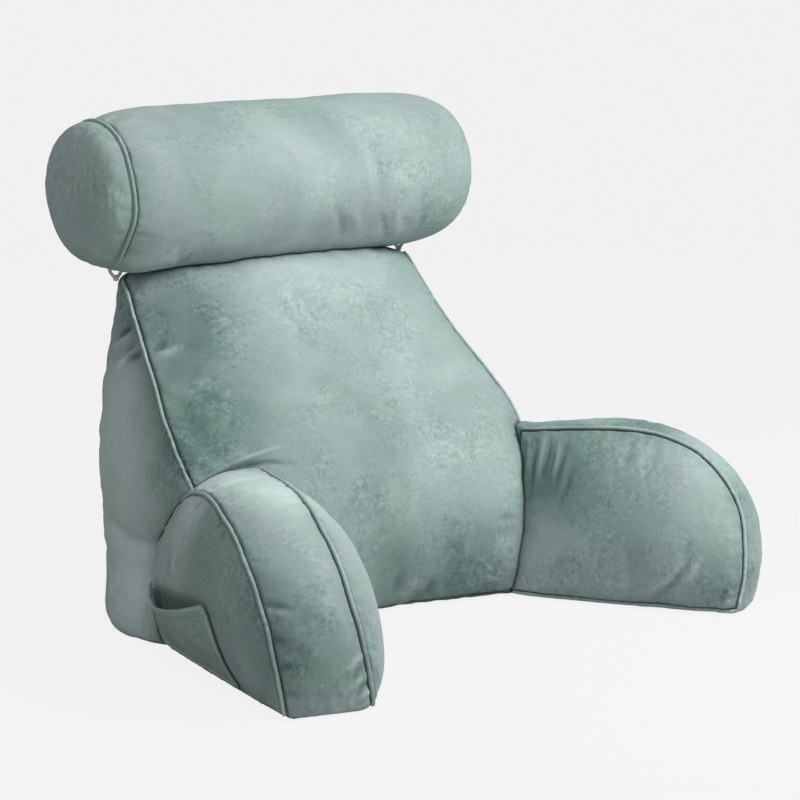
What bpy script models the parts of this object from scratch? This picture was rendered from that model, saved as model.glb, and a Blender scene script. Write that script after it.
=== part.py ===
"""Reading pillow with arms: a stuffed wedge backrest, two arms that reach forward, a neck roll on top,
rolled seam piping, an open patch pocket on one arm and the two loops that hold the roll.

Each cushion lies the way it was set down, so the left and the right of it differ a little.

Metres, +Z up. The sitter faces -Y and the arms reach forward to -Y. The pillow stands on z = 0, with the
middle of its outline on the origin.
"""

import math

import bmesh
import bpy
import numpy as np
from mathutils import Vector
from mathutils.bvhtree import BVHTree

CLOTH = (0.28, 0.42, 0.41)
CLOTH_DARK = (0.20, 0.32, 0.31)
LOOP_COLOUR = (0.62, 0.64, 0.62)

# Neck roll: a stuffed cylinder. Its left end is flat, and its right end is drawn in until it is a dome.
# rounding is the share of the roll's length over which an end rounds off.
ROLL_CENTRE = (-0.0025, 0.1775, 0.4685)
ROLL_RADIUS = 0.0885
ROLL_ENDS = (
    {"side": -1, "radius": 0.0760, "reach": 0.2240, "crown": 0.0360, "rounding": 0.22, "power": 2.6},
    {"side": 1, "radius": 0.0620, "reach": 0.2385, "crown": 0.0200, "rounding": 0.17, "power": 2.0},
)

# Backrest: (x, y, z) along each seam, from the top corner down. Each side lies a little differently.
SEAM_LIFT = 0.0040
TOP_FRONT = ((-0.194, 0.186, 0.372), (-0.100, 0.160, 0.392), (0.100, 0.160, 0.392), (0.194, 0.186, 0.372))
TOP_REAR = ((-0.190, 0.198, 0.368), (-0.100, 0.214, 0.386), (0.100, 0.214, 0.386), (0.190, 0.198, 0.368))
FRONT_SEAM_LEFT = ((-0.194, 0.186, 0.372), (-0.215, 0.110, 0.292), (-0.238, -0.002, 0.178), (-0.170, -0.034, 0.092))
FRONT_SEAM_RIGHT = ((0.194, 0.186, 0.372), (0.2035, 0.119, 0.292), (0.2280, 0.022, 0.186), (0.187, -0.038, 0.092))
FRONT_FOOT = ((0.162, -0.042, SEAM_LIFT), (0.000, 0.006, SEAM_LIFT), (-0.152, -0.036, SEAM_LIFT))
REAR_SEAM = ((0.190, 0.198, 0.368), (0.213, 0.203, 0.260), (0.223, 0.202, 0.140), (0.232, 0.172, SEAM_LIFT))
REAR_FOOT = ((0.232, 0.172, SEAM_LIFT), (0.100, 0.186, SEAM_LIFT), (-0.100, 0.186, SEAM_LIFT), (-0.232, 0.172, SEAM_LIFT))
FRONT_CROWN = (0.0, -0.046, 0.019)
REAR_CROWN = (0.0, 0.026, 0.004)
TOP_SWELL = 0.004
SIDE_SWELL = (0.005, 0.006, 0.015, 0.036, 0.038, 0.088)
BACKREST_COUNTS = (16, 14)

# Arms: one outline as fractions of length and height, and each panel's four corners in plan, as (x, y) with x
# measured outwards from the pillow's middle.
ARM_HEIGHT = 0.1820
ARM_TOP_RISE = 0.034
ARM_ARC_START = 0.40
ARM_NOSE_HEIGHT = 0.27
ARM_NOSE_TUCK = 0.019
ARM_PLANS = {
    "left": {
        "side": -1,
        "inner": {"foot": (0.138, -0.035), "toe": (0.224, -0.284), "shoulder": (0.165, -0.026), "hand": (0.251, -0.275)},
        "outer": {"foot": (0.258, 0.004), "toe": (0.307, -0.255), "shoulder": (0.250, -0.010), "hand": (0.334, -0.246)},
        "rear": {"inner": ((-0.06, 1.03), (-0.06, 0.5), (-0.06, 0.0)), "outer": ((-0.10, 0.955), (-0.34, 0.5), (-0.20, 0.0))},
        "top": {"inner": 1.04, "outer": 0.980},
        "corner": {"inner": 1.0, "outer": 1.0},
        "crown": (0.044, 0.024),
        "swell": 0.009,
    },
    "right": {
        "side": 1,
        "inner": {"foot": (0.163, -0.046), "toe": (0.283, -0.276), "shoulder": (0.208, -0.022), "hand": (0.328, -0.251)},
        "outer": {"foot": (0.238, 0.020), "toe": (0.352, -0.238), "shoulder": (0.232, 0.022), "hand": (0.396, -0.214)},
        "rear": {"inner": ((-0.06, 1.0), (-0.06, 0.5), (-0.06, 0.0)), "outer": ((-0.06, 1.0), (-0.14, 0.5), (-0.08, 0.0))},
        "top": {"inner": 1.01, "outer": 1.01},
        "corner": {"inner": 0.87, "outer": 1.0},
        "crown": (0.030, 0.024),
        "swell": 0.004,
    },
}
ARM_COUNTS = (28, 12, 8)

# Patch pocket on the left arm's outer panel: its corners as (length, height) fractions of that panel.
POCKET_MOUTH = ((-0.170, 0.345), (0.585, 0.500))
POCKET_FOOT = ((-0.060, 0.060), (0.660, 0.060))
POCKET_THICKNESS = 0.0020
POCKET_CLEAR = 0.0016
POCKET_GAPE = 0.0160

PIPING_RADIUS = 0.0022
PIPING_LOWEST = 0.0032
GAP = 0.0006
CUT_GAP = 0.0010

# A loop of cord from under each end of the roll to its knot at the backrest's top corner.
LOOP_CENTRES = {"left": (-0.2040, 0.1830, 0.3800), "right": (0.1960, 0.1980, 0.3785)}
LOOP_HALF_WIDTH = 0.0075
LOOP_HALF_HEIGHT = 0.0052
LOOP_CORD_RADIUS = 0.0012
LOOP_KNOT_SIZE = 1.9


def material(name, colour, roughness=0.9):
    made = bpy.data.materials.new(name)
    made.use_nodes = True
    shader = made.node_tree.nodes["Principled BSDF"]
    shader.inputs["Base Color"].default_value = (*colour, 1.0)
    shader.inputs["Roughness"].default_value = roughness
    shader.inputs["Metallic"].default_value = 0.0
    return made


def clear_scene():
    for obj in list(bpy.data.objects):
        bpy.data.objects.remove(obj, do_unlink=True)


def collection(name):
    made = bpy.data.collections.new(name)
    bpy.context.scene.collection.children.link(made)
    return made


def placed(name, data, look, home):
    obj = bpy.data.objects.new(name, data)
    obj.parent = stand_point
    if look:
        data.materials.append(look)
    home.objects.link(obj)
    return obj


def run(points, count):
    """Points spaced along a smooth curve through the given ones, without the last."""
    points = [Vector(p) for p in points]
    ends = [2 * points[0] - points[1], *points, 2 * points[-1] - points[-2]]
    made = []
    for i in range(count):
        at = i / count * (len(points) - 1)
        k = min(int(at), len(points) - 2)
        t = at - k
        a, b, c, d = ends[k : k + 4]
        made.append(0.5 * (2 * b + (c - a) * t + (2 * a - 5 * b + 4 * c - d) * t**2 + (3 * b - a - 3 * c + d) * t**3))
    return made


def drawn_in(rim, r):
    """The ring at fraction r of a panel: each wave of its rim fades towards the middle as it does in a taut skin."""
    waves = np.fft.rfft(rim, axis=0)
    waves *= (r ** np.arange(len(waves)))[:, None]
    return np.fft.irfft(waves, n=len(rim), axis=0)


def gusset_normals(rims):
    """The way out of the case at each point of its gusset."""
    along = np.roll(rims[0], -1, axis=0) - np.roll(rims[0], 1, axis=0)
    out = np.cross(along, rims[1] - rims[0])
    out /= np.linalg.norm(out, axis=1)[:, None]
    inwards = (out * (rims[0] - rims[0].mean(axis=0))).sum(axis=1) < 0
    out[inwards] *= -1
    return out


def round_crown(s):
    """The height of a gusset's crown at fraction s of its width."""
    return (4 * s * (1 - s)) ** 0.62


def cushion(name, rims, swell, crowns, rings, band, profile=round_crown, power=0.62):
    """A stuffed case of two panels and the gusset between them, on the rings of a sphere.

    rims are the two seams, point for point; swell is the gusset's crown at each of those points, and crowns
    hold each panel's, the blunter the lower the power. Returns the object and, for each seam, its points with
    the way out of the case there.
    """
    rims = [np.array(rim) for rim in rims]
    count, steps = len(rims[0]), 2 * rings + band
    out = gusset_normals(rims) * np.array(swell)[:, None]
    rows = []
    for step in range(steps + 1):
        if rings <= step <= rings + band:
            s = (1 - math.cos(math.pi * (step - rings) / band)) / 2
            rows.append(rims[0] * (1 - s) + rims[1] * s + out * profile(s))
        else:
            panel = 0 if step < rings else 1
            r = math.sin(math.pi / 2 * min(step, steps - step) / rings)
            rows.append(drawn_in(rims[panel], r) + np.array(crowns[panel]) * (1 - r * r) ** power)
    mesh = bmesh.new()
    bmesh.ops.create_uvsphere(mesh, u_segments=count, v_segments=steps, radius=1.0)
    place = {}
    for vert in mesh.verts:
        step = round(math.acos(max(-1.0, min(1.0, vert.co.z))) / math.pi * steps)
        turn = round(math.atan2(vert.co.y, vert.co.x) / math.tau * count) % count
        place[step, turn] = vert
    for (step, turn), vert in place.items():
        vert.co = rows[step][turn]
        vert.co.z = max(vert.co.z, 0.0)
    if mesh.calc_volume(signed=True) < 0:
        bmesh.ops.reverse_faces(mesh, faces=mesh.faces)
    bmesh.ops.triangulate(mesh, faces=mesh.faces)
    mesh.normal_update()
    seams = []
    for step in (rings, rings + band):
        verts = [place[step, turn] for turn in range(count)]
        seams.append([(vert.co.copy(), vert.normal.copy()) for vert in verts])
    data = bpy.data.meshes.new(name)
    mesh.to_mesh(data)
    mesh.free()
    data.shade_smooth()
    return placed(name, data, cloth, pillow), seams


def roll_profile(s):
    """How far the roll stands out at fraction s of its length, over the straight line from end seam to end seam."""
    left, right = ROLL_ENDS
    straight = left["radius"] * (1 - s) + right["radius"] * s
    end, place = (left, s) if s < 0.5 else (right, 1 - s)
    drawn = max(0.0, 1 - place / end["rounding"]) ** end["power"]
    rise = 1 - drawn if end is left else math.sqrt(1 - drawn)
    return end["radius"] + (ROLL_RADIUS - end["radius"]) * rise - straight


def neck_roll():
    count = 40
    middle = Vector(ROLL_CENTRE)
    rims = []
    for end in ROLL_ENDS:
        turns = [math.tau * i / count for i in range(count)]
        ring = [Vector((0, math.cos(t), math.sin(t))) * end["radius"] for t in turns]
        rims.append([middle + Vector((end["side"] * end["reach"], 0, 0)) + p for p in ring])
    crowns = [(end["side"] * end["crown"], 0, 0) for end in ROLL_ENDS]
    return cushion("neck_roll", rims, [1.0] * count, crowns, rings=5, band=10, profile=roll_profile, power=0.32)


def backrest():
    across, down = BACKREST_COUNTS

    def rim(top, right, foot, left):
        return run(top, across) + run(right, down) + run(foot, across) + run(left[::-1], down)

    rear_left = tuple((-x, y, z) for x, y, z in REAR_SEAM)
    front = rim(TOP_FRONT, (*FRONT_SEAM_RIGHT, FRONT_FOOT[0]), FRONT_FOOT, (*FRONT_SEAM_LEFT, FRONT_FOOT[-1]))
    rear = rim(TOP_REAR, REAR_SEAM, REAR_FOOT, rear_left)
    places = np.linspace(0.0, down, len(SIDE_SWELL))
    side = list(np.interp(range(down), places, SIDE_SWELL))
    swell = [TOP_SWELL] * across + side + [2 * SEAM_LIFT] * across + side[::-1]
    return cushion("backrest", (front, rear), swell, (FRONT_CROWN, REAR_CROWN), rings=7, band=6)


def arm_runs(rear, rear_top, corner):
    """The arm's outline in three runs of (length, height): over the top to the toe, back under, up the rear. rear_top
    is its height just in front of the body, and a corner below 1 makes its round end squarer."""
    top = 1 + ARM_TOP_RISE
    arc = []
    for i in range(7):
        t = math.pi / 2 * (1 - i / 6)
        along = ARM_ARC_START + (1 - ARM_ARC_START) * abs(math.cos(t)) ** corner
        arc.append((along, ARM_NOSE_HEIGHT + (top - ARM_NOSE_HEIGHT) * math.sin(t) ** corner))
    toe = (1 - ARM_NOSE_TUCK, 0.0)
    over = (rear[0], (0.1, rear_top), *arc, (1 - ARM_NOSE_TUCK / 4, ARM_NOSE_HEIGHT / 2), toe)
    return over, (toe, rear[-1]), rear[::-1]


def arm_point(side_name, panel, along, height):
    """A point of an arm's flat panel, before it is filled."""
    plan = ARM_PLANS[side_name]
    corners = plan[panel]
    low = Vector(corners["foot"]).lerp(Vector(corners["toe"]), along)
    high = Vector(corners["shoulder"]).lerp(Vector(corners["hand"]), along)
    x, y = low.lerp(high, height)
    return Vector((plan["side"] * x, y, SEAM_LIFT + height * (ARM_HEIGHT - SEAM_LIFT)))


def arm_outwards(side_name):
    middles = [arm_point(side_name, panel, 0.5, 0.5) for panel in ("inner", "outer")]
    return (middles[1] - middles[0]).normalized()


def arm(side_name):
    over, under, rear = ARM_COUNTS
    plan = ARM_PLANS[side_name]
    rims = []
    for panel in ("inner", "outer"):
        runs = zip(arm_runs(plan["rear"][panel], plan["top"][panel], plan["corner"][panel]), ARM_COUNTS)
        flat = [p for points, count in runs for p in run([(*at, 0) for at in points], count)]
        rims.append([arm_point(side_name, panel, p.x, p.y) for p in flat])
    swell = [plan["swell"]] * over + [2 * SEAM_LIFT] * under + [0.0] * rear
    across = arm_outwards(side_name)
    crowns = (-across * plan["crown"][0], across * plan["crown"][1])
    return cushion("arm_" + side_name, rims, swell, crowns, rings=6, band=5)


def grown_cutter(source):
    """A copy of a cushion, a little larger all round, which leaves its neighbour clear of it."""
    mesh = bmesh.new()
    mesh.from_mesh(source.data)
    moved = {vert: vert.co + vert.normal * CUT_GAP * min(vert.calc_shell_factor(), 3.0) for vert in mesh.verts}
    for vert, at in moved.items():
        vert.co = at
    data = bpy.data.meshes.new(source.name + "_cutter")
    mesh.to_mesh(data)
    mesh.free()
    cutter = placed(source.name + "_cutter", data, None, cutters)
    cutter.hide_render = True
    cutter.display_type = "WIRE"
    return cutter


def cut(obj, cutter):
    modifier = obj.modifiers.new("clear_" + cutter.name, "BOOLEAN")
    modifier.operation = "DIFFERENCE"
    modifier.solver = "EXACT"
    modifier.object = cutter


def tree_of(obj):
    """The surface of a cushion as sewn, before its neighbours press into it."""
    return BVHTree.FromPolygons([v.co for v in obj.data.vertices], [p.vertices for p in obj.data.polygons])


def clear_of(point, trees, margin):
    for tree in trees:
        nearest, normal, _, distance = tree.find_nearest(point)
        if distance < margin or (point - nearest).dot(normal) < 0:
            return False
    return True


def tube(name, points, radius, look, closed=False, sizes=None):
    curve = bpy.data.curves.new(name, "CURVE")
    curve.dimensions = "3D"
    curve.bevel_depth = radius
    curve.bevel_resolution = 1
    curve.use_fill_caps = True
    spline = curve.splines.new("POLY")
    spline.points.add(len(points) - 1)
    spline.use_cyclic_u = closed
    for i, point in enumerate(points):
        spline.points[i].co = (*point, 1.0)
        spline.points[i].radius = sizes[i] if sizes else 1.0
    return placed(name, curve, look, pillow)


def doubled(seam):
    """The seam with a point added in the middle of each step, where its cloth runs straight."""
    made = [seam[0]]
    for before, after in zip(seam, seam[1:]):
        made.append(tuple((a + b) / 2 for a, b in zip(before, after)))
        made.append(after)
    return made


def piping(name, seam, host, neighbours=(), closed=False):
    """A thin roll of cloth along a seam, as far as it lies clear of the neighbours."""
    reach = PIPING_RADIUS + GAP
    points = []
    for point, normal in seam if closed else doubled(seam):
        at = point + normal * reach
        for _ in range(12):
            on_floor = at.z <= PIPING_LOWEST
            at.z = max(at.z, PIPING_LOWEST)
            away = Vector((normal.x, normal.y, 0.0)).normalized() if on_floor else normal
            at += away * max(0.0, reach - host.find_nearest(at)[3])
        if clear_of(at, neighbours, PIPING_RADIUS + 2 * GAP):
            points.append(at)
    return tube(name, points, PIPING_RADIUS, piping_cloth, closed)


def pocket(name, host, side_name):
    """The pocket's cloth follows the arm's outer panel, sewn along three sides, and its mouth gapes."""
    tree = tree_of(host)
    outwards = arm_outwards(side_name)
    mouth, foot = [[Vector(p) for p in edge] for edge in (POCKET_MOUTH, POCKET_FOOT)]
    mesh = bmesh.new()
    bmesh.ops.create_grid(mesh, x_segments=16, y_segments=7, size=1.0)
    for vert in mesh.verts:
        across, up = (vert.co.x + 1) / 2, (vert.co.y + 1) / 2
        along, height = foot[0].lerp(foot[1], across).lerp(mouth[0].lerp(mouth[1], across), up)
        start = arm_point(side_name, "outer", along, height) + outwards * ARM_HEIGHT
        surface = tree.ray_cast(start, -outwards)[0]
        gape = math.sin(math.pi * across) * up**1.4
        vert.co = surface + outwards * (POCKET_CLEAR + POCKET_GAPE * gape)
    mesh.normal_update()
    if sum((face.normal for face in mesh.faces), Vector()).dot(outwards) < 0:
        bmesh.ops.reverse_faces(mesh, faces=mesh.faces)
    data = bpy.data.meshes.new(name)
    mesh.to_mesh(data)
    mesh.free()
    obj = placed(name, data, cloth, pillow)
    solidify = obj.modifiers.new("cloth", "SOLIDIFY")
    solidify.thickness = POCKET_THICKNESS
    solidify.offset = 1.0
    return obj


def roll_loop(name, centre):
    x, y, z = centre
    count = 20
    points, sizes = [], []
    for i in range(count):
        t = math.tau * i / count
        points.append((x + LOOP_HALF_WIDTH * math.sin(t), y, z - LOOP_HALF_HEIGHT * math.cos(t)))
        sizes.append(1 + (LOOP_KNOT_SIZE - 1) * max(0.0, math.cos(t)) ** 6)
    return tube(name, points, LOOP_CORD_RADIUS, loop_cord, closed=True, sizes=sizes)


def stand_on_origin(nodes):
    """Moves the pillow so that the middle of its outline in plan is the origin."""
    graph = bpy.context.evaluated_depsgraph_get()
    corners = []
    for obj in nodes:
        mesh = obj.evaluated_get(graph).to_mesh()
        points = np.array([vert.co for vert in mesh.vertices])
        corners += [points.min(axis=0), points.max(axis=0)]
    middle = (np.min(corners, axis=0) + np.max(corners, axis=0)) / 2
    stand_point.location = (-middle[0], -middle[1], 0.0)


clear_scene()
cloth = material("plush_cloth", CLOTH)
piping_cloth = material("plush_piping", CLOTH_DARK)
loop_cord = material("loop_cord", LOOP_COLOUR, 0.5)
pillow = collection("reading_pillow_with_arms")
cutters = collection("cutters")
stand_point = bpy.data.objects.new("stand_point", None)
pillow.objects.link(stand_point)

roll, roll_seams = neck_roll()
back, back_seams = backrest()
arms, arm_seams = {}, {}
for side_name in ARM_PLANS:
    arms[side_name], arm_seams[side_name] = arm(side_name)
for source in (roll, *arms.values()):
    cut(back, grown_cutter(source))

back_tree, roll_tree = tree_of(back), tree_of(roll)
arm_trees = {side_name: tree_of(obj) for side_name, obj in arms.items()}
for end, seam in zip(("left", "right"), roll_seams):
    piping("roll_piping_" + end, seam, roll_tree, closed=True)
for side_name, seams in arm_seams.items():
    over, under, _ = ARM_COUNTS
    piping(f"arm_{side_name}_piping_inner", seams[0][: over + under], arm_trees[side_name], [back_tree])
    piping(f"arm_{side_name}_piping_outer", seams[1][: over + 1], arm_trees[side_name], [back_tree])
front_seam = back_seams[0]
top, down = BACKREST_COUNTS
side_seams = {"right": front_seam[top : top + down], "left": [front_seam[0], *front_seam[: -down - 1 : -1]]}
for side_name, seam in side_seams.items():
    piping("backrest_piping_" + side_name, seam, back_tree, [roll_tree, *arm_trees.values()])
pocket("pocket", arms["left"], "left")
for side_name, centre in LOOP_CENTRES.items():
    roll_loop("roll_loop_" + side_name, centre)
stand_on_origin([obj for obj in pillow.objects if obj.type != "EMPTY"])
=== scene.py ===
"""Reading pillow with arms, dressed in short-pile plush: four stuffed cushions, rolled seams, a patch pocket
and the two cord loops that hold the neck roll.

Everything is in metres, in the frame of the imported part: +Z up, the sitter faces -Y and the arms reach forward.
"""

import math

import bmesh
import bpy
import numpy as np
from bpy.props import FloatProperty, FloatVectorProperty, PointerProperty
from mathutils import Matrix, Vector, noise
from mathutils.bvhtree import BVHTree
from mathutils.kdtree import KDTree


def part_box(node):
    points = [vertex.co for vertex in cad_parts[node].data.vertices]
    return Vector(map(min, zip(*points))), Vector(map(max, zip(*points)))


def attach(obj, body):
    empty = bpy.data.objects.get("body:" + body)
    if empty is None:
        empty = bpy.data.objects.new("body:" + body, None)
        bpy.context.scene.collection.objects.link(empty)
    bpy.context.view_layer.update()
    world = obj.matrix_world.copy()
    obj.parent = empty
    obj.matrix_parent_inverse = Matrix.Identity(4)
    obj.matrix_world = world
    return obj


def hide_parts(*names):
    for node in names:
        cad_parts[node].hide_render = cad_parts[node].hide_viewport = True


bl_info = {
    "name": "Reading Pillow",
    "version": (1, 0, 0),
    "blender": (4, 5, 0),
    "location": "View3D > Sidebar > Reading Pillow",
    "description": "Sews and stuffs a reading pillow with arms, a neck roll and a pocket",
    "category": "Object",
}

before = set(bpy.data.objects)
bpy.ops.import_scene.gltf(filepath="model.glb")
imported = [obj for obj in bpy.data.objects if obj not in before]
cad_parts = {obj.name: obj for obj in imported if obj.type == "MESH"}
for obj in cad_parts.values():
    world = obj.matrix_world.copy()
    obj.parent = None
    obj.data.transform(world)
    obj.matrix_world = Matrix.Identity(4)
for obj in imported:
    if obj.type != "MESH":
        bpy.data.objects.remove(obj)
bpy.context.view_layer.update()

# The pillow's own drawing has its origin under the middle of the backrest, the frame's under the whole outline.
SHIFT = np.array((-0.0251, 0.0104, 0.0))
SEAM_LIFT = 0.0040

ROLL_CENTRE = (-0.0025, 0.1775, 0.4685)
ROLL_RADIUS = 0.0885
ROLL_ENDS = (
    {"side": -1, "radius": 0.0760, "reach": 0.2240, "crown": 0.0360, "rounding": 0.22, "power": 2.6},
    {"side": 1, "radius": 0.0620, "reach": 0.2385, "crown": 0.0200, "rounding": 0.17, "power": 2.0},
)
ROLL_COUNTS = {"round": 96, "rings": 18, "band": 40}
ROLL_CAP_POWER = 0.32
# How far the rolled seam at each end of the neck roll stands off the cloth, in radii: the right one is sunk in.
ROLL_SEAM_STAND = {"left": 0.6, "right": -0.25}

TOP_FRONT = ((-0.194, 0.186, 0.372), (-0.100, 0.160, 0.392), (0.100, 0.160, 0.392), (0.194, 0.186, 0.372))
TOP_REAR = ((-0.190, 0.198, 0.368), (-0.100, 0.214, 0.386), (0.100, 0.214, 0.386), (0.190, 0.198, 0.368))
FRONT_SEAM_LEFT = (
    (-0.194, 0.186, 0.372),
    (-0.215, 0.110, 0.292),
    (-0.238, -0.002, 0.178),
    (-0.170, -0.034, 0.092),
)
FRONT_SEAM_RIGHT = (
    (0.194, 0.186, 0.372),
    (0.2035, 0.119, 0.292),
    (0.2280, 0.022, 0.186),
    (0.187, -0.038, 0.092),
)
FRONT_FOOT = ((0.162, -0.042, SEAM_LIFT), (0.000, 0.006, SEAM_LIFT), (-0.152, -0.036, SEAM_LIFT))
REAR_SEAM = ((0.190, 0.198, 0.368), (0.213, 0.203, 0.260), (0.223, 0.202, 0.140), (0.232, 0.172, SEAM_LIFT))
REAR_FOOT = (
    (0.232, 0.172, SEAM_LIFT),
    (0.100, 0.186, SEAM_LIFT),
    (-0.100, 0.186, SEAM_LIFT),
    (-0.232, 0.172, SEAM_LIFT),
)
FRONT_CROWN = (0.0, -0.046, 0.019)
REAR_CROWN = (0.0, 0.026, 0.004)
TOP_SWELL = 0.004
SIDE_SWELL = (0.005, 0.006, 0.015, 0.036, 0.038, 0.088)
BACKREST_COUNTS = {"across": 48, "down": 56, "rings": 28, "band": 20}

ARM_HEIGHT = 0.1820
ARM_TOP_RISE = 0.034
ARM_ARC_START = 0.40
ARM_NOSE_HEIGHT = 0.27
ARM_NOSE_TUCK = 0.019
ARM_REAR_RUN = 0.1
ARC_STEPS = 6
ARM_COUNTS = {"over": 112, "under": 40, "rear": 32, "rings": 24, "band": 20}
# The corners of each flat panel are its foot and toe on the floor, then its shoulder and hand at the top.
ARMS = {
    "left": {
        "side": -1,
        "inner": ((0.138, -0.035), (0.224, -0.284), (0.165, -0.026), (0.251, -0.275)),
        "outer": ((0.258, 0.004), (0.307, -0.255), (0.250, -0.010), (0.334, -0.246)),
        "rear": {
            "inner": ((-0.06, 1.03), (-0.06, 0.5), (-0.06, 0.0)),
            "outer": ((-0.10, 0.86), (-0.34, 0.5), (-0.20, 0.0)),
        },
        "top": {"inner": 1.04, "outer": 0.980},
        "corner": {"inner": 1.0, "outer": 1.0},
        "crown": (0.044, 0.024),
        "swell": 0.009,
    },
    "right": {
        "side": 1,
        "inner": ((0.163, -0.046), (0.283, -0.276), (0.208, -0.022), (0.328, -0.251)),
        "outer": ((0.238, 0.020), (0.349, -0.238), (0.232, 0.022), (0.389, -0.212)),
        "rear": {
            "inner": ((-0.06, 1.0), (-0.06, 0.5), (-0.06, 0.0)),
            "outer": ((-0.06, 1.0), (-0.14, 0.5), (-0.08, 0.0)),
        },
        "top": {"inner": 1.01, "outer": 0.99},
        "corner": {"inner": 0.87, "outer": 1.0},
        "crown": (0.030, 0.024),
        "swell": 0.004,
    },
}

# The pocket's mouth and foot, from rear to front, in lengths and heights of the left arm's outer panel; and its
# flat size.
POCKET_MOUTH = ((-0.170, 0.385), (0.610, 0.515))
POCKET_FOOT = ((-0.060, 0.060), (0.690, 0.060))
POCKET_SIZE = (0.205, 0.085)
POCKET_COUNTS = (170, 84)

# The way round a cord loop from the knot at its foot, in halves of its width and height.
LOOP_SHAPE = (
    (0.0, -1.0),
    (0.40, -0.62),
    (0.85, 0.05),
    (1.0, 0.72),
    (0.62, 1.0),
    (0.0, 0.86),
    (-0.66, 1.0),
    (-1.0, 0.64),
    (-0.70, -0.08),
    (-0.30, -0.68),
    (0.0, -1.0),
)
LOOP_COUNT = 72
# The knot at its foot: how much thicker than the cord it is, and how far it reaches.
KNOT_RISE = 1.1
KNOT_REACH = 0.30

# How round a cushion's crown is: lower is fuller.
CROWN_POWER = 0.62
# How deep the stitches draw the cloth in along each cushion's two seams: on the panel's side, on the gusset's.
GROOVES = {
    "neck_roll": ((0.0006, 0.0021), (0.0002, 0.0003)),
    "backrest": ((0.0020, 0.0007), (0.0012, 0.0012)),
    "arm_left": ((0.0012, 0.0019), (0.0010, 0.0021)),
    "arm_right": ((0.0020, 0.0008), (0.0014, 0.0014)),
}
# Where the middle of a groove lies beside its seam and how wide it is, as a shape and as a shadow.
GROOVE_SHAPE = (0.0029, 0.0013)
GROOVE_SHADOW = (0.0028, 0.0016)
# A groove this deep is all in shadow.
DARK_GROOVE = 0.0016
# How far the colour can be pushed by the patches and by folds, how strongly folds are painted lighter on their
# ridges and darker in their creases, and how wide such folds are in millimetres.
MOST_BRUSHED_AND_PAINTED = (0.47, 0.5)
FOLD_PAINTED_LIGHT = 75.0
FOLD_PAINTED_LIGHT_WIDTH = 8.0
# The size of the cloth's squares before they are made finer, and how far the filling may move the cloth.
SQUARES = {"neck_roll": 0.0046, "backrest": 0.0074, "arm_left": 0.0042, "arm_right": 0.0042}
CAPS = {"neck_roll": 0.0035, "backrest": 0.0045, "arm_left": 0.0035, "arm_right": 0.0035}
# The cloth along seams and sharp folds is made finer: within this of a seam, and at folds narrower than this
# many millimetres, where they lift the cloth by more than this.
FINE_REACH = 0.007
FINE_FOLD_WIDTH = 5.5
FINE_FOLD_LIFT = 0.0004
# The filling: how the cloth behaves, for how many steps it fills, and what share of its even swelling is taken
# off again.
STUFFED_CLOTH = {
    "quality": 4,
    "mass": 0.12,
    "tension_stiffness": 18,
    "compression_stiffness": 18,
    "shear_stiffness": 8,
    "bending_stiffness": 0.6,
    "use_pressure": True,
    "pin_stiffness": 1.0,
    "vertex_group_mass": "held",
}
STUFFING_STEPS = 20
EVEN_SWELLING = 0.75
# Soft lumps: their height, their wide and narrow widths, and how far from a seam they reach their full height.
LUMPS = (0.0021, 0.085, 0.036, 0.05)
# Gathers off the seams: their height, how wide and long each one is, how long a busy stretch of them is, how
# far from the seam they are highest, and where they end.
GATHERS = (0.0013, 0.0075, 0.06, 0.06, 0.009, 0.05)
# The cushions that lie against the backrest, and the space between it and them where they are cut out of it.
ON_BACKREST = ("neck_roll", "arm_left", "arm_right")
CLEARANCE = 0.0010
# The neighbours that press into each cushion: how deep, and how far from them it begins, in metres.
PRESSED = {
    "neck_roll": {},
    "backrest": {"arm_left": (0.0006, 0.006), "arm_right": (0.0006, 0.006), "neck_roll": (0.002, 0.008)},
    "arm_left": {"backrest": (0.0010, 0.006)},
    "arm_right": {"backrest": (0.0010, 0.006)},
}

# A rolled seam ends where more of it than this is covered by a neighbour, in millimetres. Its radius varies by
# this share, and it stays this far above the floor.
SEAM_GAP = 12
SEAM_UNEVEN = 0.20
OFF_FLOOR = 0.0002
TUBE_SIDES = 12

# The camera, fitted to the outlines in the photo: where it looks, how far off it stands, and how it is turned.
CAMERA = {
    "look_at": (0.0295, -0.0099, 0.2354),
    "azimuth": 38.1557,
    "elevation": 9.5981,
    "roll": -1.2963,
    "distance": 2.6,
    "lens": 108.0,
}

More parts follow.
